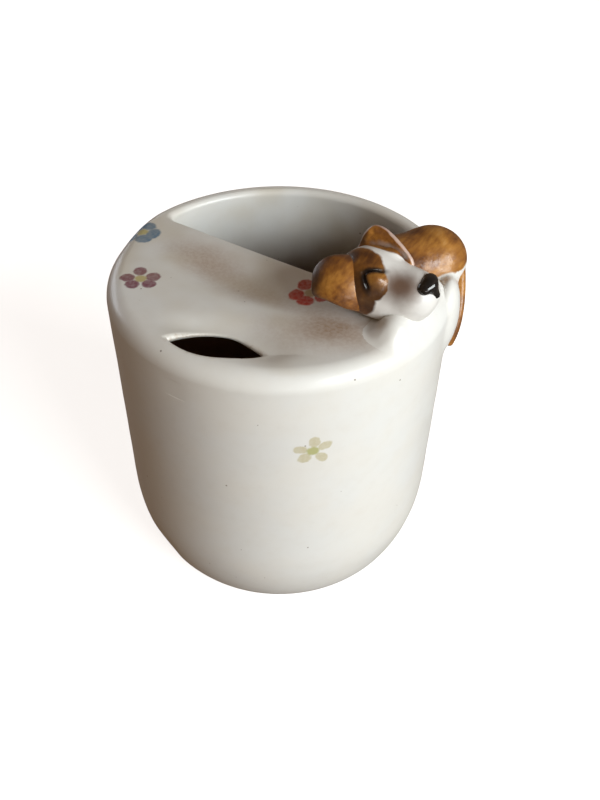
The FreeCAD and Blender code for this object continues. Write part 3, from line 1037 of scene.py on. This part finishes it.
@dataclass
class DogBody:
    """Chest, back, rump and thigh as one lump over the rim."""

    anchor: RimAnchor
    rim: CoverAndRim
    torso_place: Triple = (-13.0, 1.0, 1.0)
    torso_half: Triple = (10.0, 8.4, 6.8)
    torso_yaw: float = 38.0
    rump_place: Triple = (-5.6, 4.8, 1.0)
    rump_half: Triple = (8.7, 8.6, 7.9)
    neck_place: Triple = (-19.5, -7.0, 4.6)
    neck_radii: tuple[float, float] = (6.0, 5.2)
    haunch_half: Triple = (3.4, 6.4, 9.4)
    haunch_proud: float = 1.9
    haunch_along: float = -6.6
    haunch_middle: float = -6.9
    paint_line: float = 1.7
    knee_place: Triple = (0.0, -8.0, 0.0)
    knee_half: Triple = (6.3, 6.5, 4.1)
    spare: float = 3.5

    def lumps(self, points: np.ndarray) -> np.ndarray:
        """The body's own field."""
        yaw = self.anchor.way
        chest = self.anchor.place(*self.torso_place)
        torso = lump(points, chest, self.torso_half, axes_of(yaw + self.torso_yaw))
        rump = lump(points, self.anchor.place(*self.rump_place), self.rump_half, axes_of(yaw))
        neck = roll(points, chest, self.anchor.place(*self.neck_place), *self.neck_radii)
        body = soft_min(soft_min(torso, rump, 2.5), neck, 3.0)
        proud = self.haunch_proud - self.haunch_half[0]
        middle = self.anchor.on_wall(self.haunch_along, self.haunch_middle, proud)
        thigh = lump(points, middle, self.haunch_half, axes_of(self.anchor.way_along(self.haunch_along)))
        return soft_min(body, thigh, 2.6)

    def build(self) -> bpy.types.Object:
        """Shape and glaze the body."""
        low, high = packed_box(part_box("dog_body"))
        thigh_low, thigh_high = packed_box(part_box("haunch"))
        start, end = np.minimum(low, thigh_low) - self.spare, np.maximum(high, thigh_high) + self.spare
        mesher = ClayMesher(tuple(start), tuple(end), 0.3)
        piece = PressedOn(self.rim, 1.9).build("dog_body", self.lumps, mesher)
        piece.data.materials.append(self.glaze())
        return piece

    def glaze(self) -> bpy.types.Material:
        """White below and over the knee, and brushed brown above a wavering line."""
        sheet = GlazeSheet("patched_glaze_body")
        brown = brushed_brown(sheet, (0.5, 0.2, 1.0))
        white = sheet.mix(sheet.noise(7.0, 2.0), CREAM, COOL_CREAM)
        start = tuple(self.anchor.place(3.0, 0.0, self.paint_line))
        turn = (0, 0, math.radians(self.anchor.way))
        rise = sheet.part(sheet.mapped(sheet.shaken(sheet.mm, 2.6, 0.7), "TEXTURE", start, turn), "Z")
        knee_place = tuple(self.anchor.place(*self.knee_place))
        knee = sheet.dab(sheet.shaken(sheet.mm, 2.6, 0.4), knee_place, self.knee_half, turn, 0.06)
        mask = sheet.times(sheet.span(rise, -0.25, 0.25), sheet.math("SUBTRACT", 1.0, knee))
        sheet.gloss(sheet.washed(1.5, 2.0, 0.3, 0.46), 0.1)
        sheet.bump(sheet.noise(0.8, 3.0), 0.09)
        return sheet.paint(sheet.mix(mask, white, brown))


@dataclass
class Foreleg:
    """The leg under the chin: a coil along the shoulder that ends in a paw."""

    anchor: RimAnchor
    rim: CoverAndRim
    radius: float = 3.6
    from_rim: float = 6.3
    start: float = -8.0
    end: float = -25.9
    rise: float = 0.4
    path_points: int = 12
    toe_ways: tuple[float, ...] = (-28.0, 0.0, 28.0)
    toe_reach: float = 1.7
    toe_half: Triple = (2.5, 1.5, 2.0)

    def lumps(self, points: np.ndarray) -> np.ndarray:
        """The leg's own field."""
        ring, height = self.rim.cup.rim_radius - self.from_rim, self.rim.cup.height + self.rise
        ways = math.radians(self.anchor.way) + np.linspace(self.start, self.end, self.path_points) / ring
        path = np.stack([ring * np.cos(ways), ring * np.sin(ways), np.full(self.path_points, height)], -1)
        leg = rolled_path(points, path, np.full(self.path_points, self.radius))
        paw, forward = path[-1], ways[-1] - math.pi / 2
        for turn in self.toe_ways:
            way = forward + math.radians(turn)
            toe = paw + self.toe_reach * np.array([math.cos(way), math.sin(way), -0.25])
            leg = soft_min(leg, lump(points, toe, self.toe_half, axes_of(math.degrees(way))), 0.8)
        return leg

    def build(self) -> bpy.types.Object:
        """Shape and glaze the leg."""
        low, high = packed_box(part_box("foreleg"))
        mesher = ClayMesher(tuple(low - (4.0, 4.5, 6.0)), tuple(high + (3.0, 4.0, 2.0)), 0.28)
        piece = PressedOn(self.rim, 3.0).build("foreleg", self.lumps, mesher)
        piece.data.materials.append(CreamGlaze("cream_glaze_leg").make())
        return piece


@dataclass
class Tail:
    """A thin roll over the thigh and down the wall."""

    anchor: RimAnchor
    rim: CoverAndRim
    along: Triple = (2.6, -3.2, -6.6)
    heights: Triple = (0.6, -8.0, -15.4)
    proud: Triple = (1.5, 1.9, 0.8)
    radius: float = 0.85
    half_width: float = 0.9

    def lumps(self, points: np.ndarray) -> np.ndarray:
        """The tail's own field, along a parabola through its three places."""
        a, b, c = (self.anchor.on_wall(*spot) for spot in zip(self.along, self.heights, self.proud))
        share = np.linspace(0.0, 1.0, 14)[:, None]
        bend = 2 * b - (a + c) / 2
        path = (1 - share) ** 2 * a + 2 * share * (1 - share) * bend + share**2 * c
        thick = self.radius * (1.0 - 0.35 * share[:, 0] ** 3)
        way = math.radians(self.anchor.way_along(self.along[1]))
        aside = self.half_width * np.array([math.sin(way), -math.cos(way), 0.0])
        spread = np.sin(math.pi * np.clip(0.1 + 0.9 * share, 0.0, 1.0)) * (1.3 - 0.5 * share)
        edges = [rolled_path(points, path + side * aside * spread, thick) for side in (0.0, 1.0)]
        return soft_min(edges[0], edges[1], 1.6)

    def build(self) -> bpy.types.Object:
        """Shape and glaze the tail."""
        low, high = packed_box(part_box("tail"))
        mesher = ClayMesher(tuple(low - 3.0), tuple(high + 3.0), 0.2)
        piece = build_piece("tail", self.lumps, mesher)
        piece.data.materials.append(BrownGlaze("brown_glaze_tail", (0.0, 0.3, 0.2)).make())
        return piece


@dataclass
class EarShape:
    """A leaf of clay: an outline in its own plane, bent over a hollow form."""

    outline: list[tuple[float, float]]
    along: Triple
    facing: Triple
    thick: float
    form_centre: Triple
    form_half: Triple
    dish: float = 0.0

    def leaf(self, points: np.ndarray) -> tuple[np.ndarray, np.ndarray]:
        """The flat distance to the outline, and the height above the form, in the head's frame."""
        facing = np.asarray(self.facing) / np.linalg.norm(self.facing)
        along = np.asarray(self.along) - facing * (np.asarray(self.along) @ facing)
        along /= np.linalg.norm(along)
        across = np.cross(facing, along)
        places = np.stack([points @ along, points @ across], -1)
        edge = flat_distance(places, closed_curve(self.outline))
        height = lump(points, self.form_centre, self.form_half)
        return edge, height

    def field(self, points: np.ndarray) -> np.ndarray:
        """Field of the ear in the head's frame."""
        edge, height = self.leaf(points)
        if self.dish:
            height = height + self.dish * smooth_step(-edge, 0.3, 2.2)
        leaf = np.abs(height + self.thick / 2) - self.thick / 2
        return round_max(edge, leaf, self.thick * 0.46)


@dataclass(frozen=True)
class EarPaint:
    """How one ear is glazed: its darker spots, partly painted shade, and its paler spots, placed in the
    head's frame.
    """

    turn: Triple
    bright: float
    worn_label: str
    dark_stain_and_shade_spots: tuple[tuple[Triple, Triple], ...]
    pale_spots: tuple[tuple[Triple, Triple], ...] = ()


@dataclass
class DogHead:
    """Skull, snout, nose and ears, in a frame of their own: x to the nose, y to the left ear."""

    anchor: RimAnchor
    place: Triple = (-20.8, -13.0, 6.4)
    yaw: float = -30.0
    pitch: float = 13.0
    tilt: float = 12.0
    skull_half: Triple = (8.2, 8.2, 7.2)
    snout_place: Triple = (8.3, 0.0, -2.6)
    snout_half: Triple = (7.8, 6.0, 5.8)
    nose_shift: Triple = (0.5, 0.1, -0.5)
    jaw: tuple[Triple, Triple] = ((6.4, -0.6, -4.4), (5.6, 4.6, 3.9))
    cheek: tuple[Triple, Triple, float] = ((4.0, 3.6, -3.2), (4.6, 3.4, 3.2), 2.4)
    flew: tuple[Triple, Triple, float] = ((10.2, 2.2, -4.0), (4.2, 3.2, 3.4), 2.4)
    lid: tuple[Triple, Triple, float] = ((4.2, 4.2, 3.8), (2.1, 1.35, 1.8), 1.6)
    eye_grooves: tuple[tuple[Triple, Triple], ...] = (
        ((2.1, -4.5, 5.9), (5.7, -2.3, 5.0)), ((2.3, -4.6, 5.7), (3.7, -6.4, 3.4)),
        ((2.4, 5.2, 5.2), (5.8, 4.2, 3.6)))
    lip: tuple[Triple, ...] = ((8.0, 5.6, -6.2), (11.4, 4.6, -6.6), (14.0, 2.4, -6.0), (14.9, 0.0, -5.4))
    right_ear: EarShape = field(default_factory=lambda: EarShape(
        [(-7.7, -1.9), (-8.1, 0.7), (-7.4, 2.9), (-5.4, 4.5), (-1.8, 4.7), (2.2, 2.4), (3.6, -2.0),
         (3.3, -5.2), (1.6, -7.2), (0.1, -7.0), (-1.6, -6.2), (-4.0, -5.4), (-6.7, -5.0), (-7.5, -4.1)],
        (1, 0, 0), (-0.15, -0.75, 0.65), 1.9, (-6.0, -3.0, 0.0), (9.1, 8.5, 8.1)))
    left_ear: EarShape = field(default_factory=lambda: EarShape(
        [(-5.4, 4.6), (-4.6, 7.5), (-3.4, 10.1), (-1.2, 11.8), (1.7, 11.4), (4.5, 9.7), (7.3, 7.2),
         (9.0, 4.9), (8.4, 3.4), (2.0, 2.6)],
        (1, 0, 0), (0.0, -0.8, 0.6), 1.15, (2.0, 29.5, -12.2), (30.0, 30.0, 30.0), 0.5))

    @property
    def centre(self) -> np.ndarray:
        """Middle of the skull in the cup's frame."""
        return self.anchor.place(*self.place)

    @property
    def axes(self) -> np.ndarray:
        """The head's axes as columns."""
        return axes_of(self.anchor.way + self.yaw, self.pitch, self.tilt)

    def local(self, points: np.ndarray) -> np.ndarray:
        """Places in the head's frame."""
        return (points - self.centre) @ self.axes

    def lumps(self, points: np.ndarray) -> np.ndarray:
        """Skull and snout with brows, cheeks, closed eyes and a mouth."""
        p = self.local(points)
        snout = lump(p, self.snout_place, self.snout_half)
        field_ = soft_min(lump(p, (0, 0, 0), self.skull_half), snout, 3.6)
        field_ = soft_min(field_, lump(p, *self.jaw), 2.4)
        for side in (-1.0, 1.0):
            for (x, y, z), half, reach in (self.cheek, self.flew, self.lid):
                field_ = soft_min(field_, lump(p, (x, side * y, z), half), reach)
        for start, end in self.eye_grooves:
            field_ = -soft_min(-field_, roll(p, start, end, 0.3, 0.22), 0.5)
        mouth = np.array([(x, side * y, z) for side, half in ((-1.0, self.lip), (1.0, self.lip[-2::-1]))
                          for x, y, z in half])
        return -soft_min(-field_, rolled_path(p, mouth, np.full(len(mouth), 0.2)), 0.4)

    def nose(self, points: np.ndarray) -> np.ndarray:
        """The nose pad: two wings above a narrow tip, with nostrils."""
        p = self.local(points)
        p = p - np.asarray(self.nose_shift)
        pad = lump(p, (13.9, 0.1, 1.2), (1.9, 2.5, 1.5))
        for side in (-1.0, 1.0):
            pad = soft_min(pad, lump(p, (13.6, side * 1.8, 1.1), (1.5, 1.15, 1.15)), 1.0)
        pad = soft_min(pad, roll(p, (14.6, 0.0, 0.8), (15.3, 0.1, -1.6), 1.45, 0.85), 1.2)
        for side in (-1.0, 1.0):
            pad = -soft_min(-pad, lump(p, (15.6, side * 1.35, 0.5), (0.6, 0.45, 0.3)), 0.4)
        return pad

    def box(self, low: Triple, high: Triple, step: float) -> ClayMesher:
        """A grid round a box of the head's frame."""
        corners = np.array([(x, y, z) for x in (low[0], high[0]) for y in (low[1], high[1])
                            for z in (low[2], high[2])])
        places = corners @ self.axes.T + self.centre
        return ClayMesher(tuple(places.min(0)), tuple(places.max(0)), step)

    def paint_frame(self, sheet: GlazeSheet) -> Socket:
        """Places in the head's frame for a glaze."""
        turn = Matrix(self.axes.tolist()).to_euler("XYZ")
        return sheet.mapped(sheet.mm, "TEXTURE", tuple(self.centre), tuple(turn))

    def glaze(self) -> bpy.types.Material:
        """White face with brown patches, painted eyes and painted shade on the snout's side, partly a brown
        mark.
        """
        sheet = GlazeSheet("patched_glaze_head")
        face = self.paint_frame(sheet)
        brown = brushed_brown(sheet, (0.3, 0.9, 0.2), 0.82)
        colour = sheet.mix(sheet.noise(6.0, 2.0), (0.78, 0.745, 0.70), (0.78, 0.775, 0.755))
        # Painted shade on the side of the snout, partly a brown mark in the glaze.
        snout_smudge_and_shade = sheet.dab(sheet.shaken(face, 2.0, 0.5), (9.7, -3.1, 2.0), (4.7, 3.2, 3.3), (0, 0, 0.1), 0.8)
        colour = sheet.mix(sheet.times(snout_smudge_and_shade, 0.93), colour, (0.115, 0.05, 0.02))
        uneven = sheet.shaken(face, 2.2, 0.45)
        patch = sheet.either(
            sheet.dab(uneven, (-1.8, -2.4, 5.0), (7.6, 5.1, 5.0), soft=0.05),
            sheet.dab(uneven, (-2.5, -7.0, 0.5), (7.6, 5.0, 5.5), soft=0.05),
            sheet.dab(uneven, (4.4, -4.4, 2.6), (2.9, 3.6, 3.6), soft=0.06),
            sheet.dab(uneven, (2.0, 5.9, 4.0), (5.5, 3.2, 4.5), soft=0.06))
        # Darker brown in the patch: painted shade in the crease between the right ear and the eye, and darker
        # brown below the eye and on the crown by the right ear.
        deep_shade = sheet.either(
            sheet.dab(uneven, (4.6, -6.6, 0.2), (3.6, 3.0, 4.2), soft=0.5),
            sheet.dab(uneven, (1.2, -7.0, 3.0), (2.4, 3.0, 4.8), soft=0.6),
            sheet.dab(uneven, (-3.4, -1.6, 6.6), (2.4, 2.2, 2.2), soft=0.7))
        brown = sheet.mix(sheet.times(deep_shade, 0.85), brown, (0.045, 0.017, 0.007))
        colour = sheet.mix(patch, colour, brown)
        rough = sheet.shaken(face, 0.9, 0.12)
        lines = sheet.either(
            sheet.stroke(rough, (2.1, -4.4, 5.9), (5.6, -2.4, 5.0), 1.9, 0.45),
            sheet.stroke(rough, (2.3, -4.5, 5.8), (3.5, -6.6, 2.9), 2.0, 0.5),
            sheet.stroke(rough, (2.4, 5.2, 5.2), (5.8, 4.2, 3.6), 1.1))
        colour = sheet.mix(lines, colour, (0.012, 0.006, 0.004))
        sheet.gloss(sheet.washed(1.5, 2.0, 0.28, 0.42), 0.12)
        sheet.bump(sheet.noise(0.9, 3.0), 0.05)
        return sheet.paint(colour)

    def build(self) -> list[bpy.types.Object]:
        """Shape and glaze the head's pieces."""
        head = build_piece("dog_head", self.lumps, self.box((-9, -9, -9), (17, 9, 9), 0.27))
        head.data.materials.append(self.glaze())
        nose = build_piece("nose_pad", self.nose, self.box((11, -4.5, -4), (17.5, 4.5, 4), 0.14))
        nose.data.materials.append(BlackGlaze().make())
        # Right ear: darker along its back edge and painted shade under its lower edge. Left ear: painted
        # shade in the crease at the right end of its base and a darker patch inside.
        right = self.ear("right_ear", self.right_ear, self.box((-16, -14, -6), (5, 2, 11), 0.24), EarPaint(
            (0.8, 0.2, 0.5), 1.05, "",
            (((-8.4, -8.6, 5.2), (2.0, 4.2, 4.4)), ((-6.6, -10.8, 0.8), (3.6, 2.6, 1.8)))))
        left = self.ear("left_ear", self.left_ear, self.box((-8, 0, -1), (11, 12, 12), 0.24), EarPaint(
            (0.2, 0.9, 0.0), 1.45, "rim_distance",
            (((-3.4, 6.0, 6.4), (1.2, 1.2, 2.6)), ((7.0, 4.6, 3.6), (1.0, 1.0, 1.0))),
            (((2.6, 5.2, 5.0), (6.0, 0.9, 1.1)),)))
        return [head, nose, right, left]

    def ear(self, label: str, shape: EarShape, mesher: ClayMesher, paint: EarPaint) -> bpy.types.Object:
        """Shape and glaze one ear."""
        piece = build_piece(label, lambda p: shape.field(self.local(p)), mesher)
        store(piece, "rim_distance", lambda p: shape.leaf(self.local(p))[0])
        dark, light = (
            tuple((tuple(self.axes @ np.asarray(place) + self.centre), half) for place, half in spots)
            for spots in (paint.dark_stain_and_shade_spots, paint.pale_spots))
        glaze = BrownGlaze("brown_glaze_" + label, paint.turn, paint.bright, paint.worn_label,
                           dark_stain_and_shade_spots=dark, pale_spots=light)
        piece.data.materials.append(glaze.make())
        return piece


# ----------------------------------------------------------------------------------- studio


@dataclass(frozen=True)
class Lamp:
    """A soft lamp that faces the cup.

    Attributes:
        name: The lamp's name.
        way: Its direction round the cup, in degrees from +X.
        rise: Its height above the horizon in degrees.
        distance: From the cup, in metres.
        size: Width and height in metres.
        power: In watts.
        colour: Its tint.
    """

    name: str
    way: float
    rise: float
    distance: float
    size: tuple[float, float]
    power: float
    colour: Colour

    def hang(self) -> None:
        """Put the lamp in the scene."""
        data = bpy.data.lights.new(self.name, "AREA")
        data.shape, data.size, data.size_y = "RECTANGLE", *self.size
        data.energy, data.color = self.power, self.colour
        lamp = bpy.data.objects.new(self.name, data)
        a, e = math.radians(self.way), math.radians(self.rise)
        aim = Vector((0, 0, 0.06))
        towards = Vector((math.cos(a) * math.cos(e), math.sin(a) * math.cos(e), math.sin(e)))
        lamp.location = aim + self.distance * towards
        lamp.rotation_euler = (lamp.location - aim).to_track_quat("Z", "Y").to_euler()
        bpy.context.scene.collection.objects.link(lamp)


@dataclass(frozen=True)
class Studio:
    """Floor, soft light and camera."""

    camera_place: Triple = (97.1, -144.0, 201.2)
    camera_way: float = 34.0
    camera_down: float = 42.2
    lens: float = 38.25
    shift: float = 0.0255
    floor_half: float = 1.6
    floor_glow: float = 0.75
    brown_way: float = -150.0
    room_tint: Colour = (0.165, 0.128, 0.10)
    brown_tint: Colour = (0.13, 0.075, 0.037)
    lamps: tuple[Lamp, ...] = (
        Lamp("window", -9.0, 24.0, 0.9, (0.6, 0.42), 9.4, (0.94, 0.99, 1.0)),
        Lamp("table", -38.0, 3.0, 0.8, (0.5, 0.08), 0.9, (1.0, 0.99, 0.97)),
        Lamp("sky", 170.0, 13.0, 1.0, (0.6, 0.3), 2.3, (0.86, 0.93, 1.0)))

    def camera(self) -> None:
        """Look down at the cup from the front right."""
        data = bpy.data.cameras.new("camera")
        data.lens, data.sensor_width, data.shift_x = self.lens, 36.0, self.shift
        data.clip_start = 0.01
        camera = bpy.data.objects.new("camera", data)
        camera.location = Vector(self.camera_place) * MM
        camera.rotation_euler = Euler((math.radians(90 - self.camera_down), 0, math.radians(self.camera_way)))
        bpy.context.scene.collection.objects.link(camera)
        bpy.context.scene.camera = camera

    def floor(self) -> None:
        """A pale floor with a soft sheen."""
        mesh = bpy.data.meshes.new("floor")
        work = bmesh.new()
        bmesh.ops.create_grid(work, x_segments=8, y_segments=8, size=self.floor_half)
        work.to_mesh(mesh)
        work.free()
        floor = bpy.data.objects.new("floor", mesh)
        bpy.context.scene.collection.objects.link(floor)
        sheet = GlazeSheet("pale_floor")
        colour = sheet.mix(sheet.noise(60.0, 3.0), (0.86, 0.855, 0.85), (0.89, 0.885, 0.88))
        sheet.gloss(0.75)
        sheet.shader.inputs["Emission Color"].default_value = (1.0, 0.99, 0.98, 1.0)
        sheet.shader.inputs["Emission Strength"].default_value = self.floor_glow
        mesh.materials.append(sheet.paint(colour))
        floor.visible_diffuse = False
        floor.visible_glossy = False

    def room(self) -> None:
        """A dim warm room, brownest behind the cup's left side, and white where the camera sees it."""
        world = bpy.data.worlds.new("room")
        bpy.context.scene.world = world
        world.use_nodes = True
        sheet = NodeSheet(world.node_tree)
        way, brown = sheet.fed("ShaderNodeTexCoord")["Generated"], math.radians(self.brown_way)
        towards = {0: way, 1: (math.cos(brown), math.sin(brown), 0.0)}
        facing = sheet.fed("ShaderNodeVectorMath", towards, operation="DOT_PRODUCT")["Value"]
        tint = sheet.mix(sheet.span(facing, -0.15, 0.45), self.room_tint, self.brown_tint)
        shown = sheet.mix(sheet.fed("ShaderNodeLightPath")["Is Camera Ray"], tint, (1.0, 1.0, 1.0))
        back = sheet.fed("ShaderNodeBackground", {"Color": shown, "Strength": 1.0})
        sheet.fed("ShaderNodeOutputWorld", {"Surface": back[0]})

    def build(self) -> None:
        """Set up the whole studio."""
        bpy.context.scene.view_settings.view_transform = "Standard"
        self.camera()
        self.floor()
        self.room()
        for lamp in self.lamps:
            lamp.hang()


# ------------------------------------------------------------------------------------- main


def put(piece: bpy.types.Object, slot: Slot, *nodes: str) -> None:
    """Hand a finished piece to the frame."""
    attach(piece, "root")
    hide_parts(*nodes)


def main() -> None:
    """Build the cup, the dog and the studio."""
    logging.basicConfig(level=logging.INFO, format="%(message)s")
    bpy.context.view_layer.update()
    Studio().build()
    cup = CupShape.from_frame()
    rim = CoverAndRim(cup)
    anchor = RimAnchor(cup)
    put(ThrownCup(cup).build(), Slot.CREAM, "cup_body")
    put(rim.build(), Slot.CREAM, "half_cover")
    put(DogBody(anchor, rim).build(), Slot.PATCHED, "dog_body", "haunch")
    put(Foreleg(anchor, rim).build(), Slot.CREAM, "foreleg")
    put(Tail(anchor, rim).build(), Slot.BROWN, "tail")
    head, nose, right_ear, left_ear = DogHead(anchor).build()
    put(head, Slot.PATCHED, "dog_head", "dog_muzzle")
    put(nose, Slot.BLACK, "nose_pad")
    put(right_ear, Slot.BROWN, "right_ear")
    put(left_ear, Slot.BROWN, "left_ear")


if __name__ == "__main__":
    main()
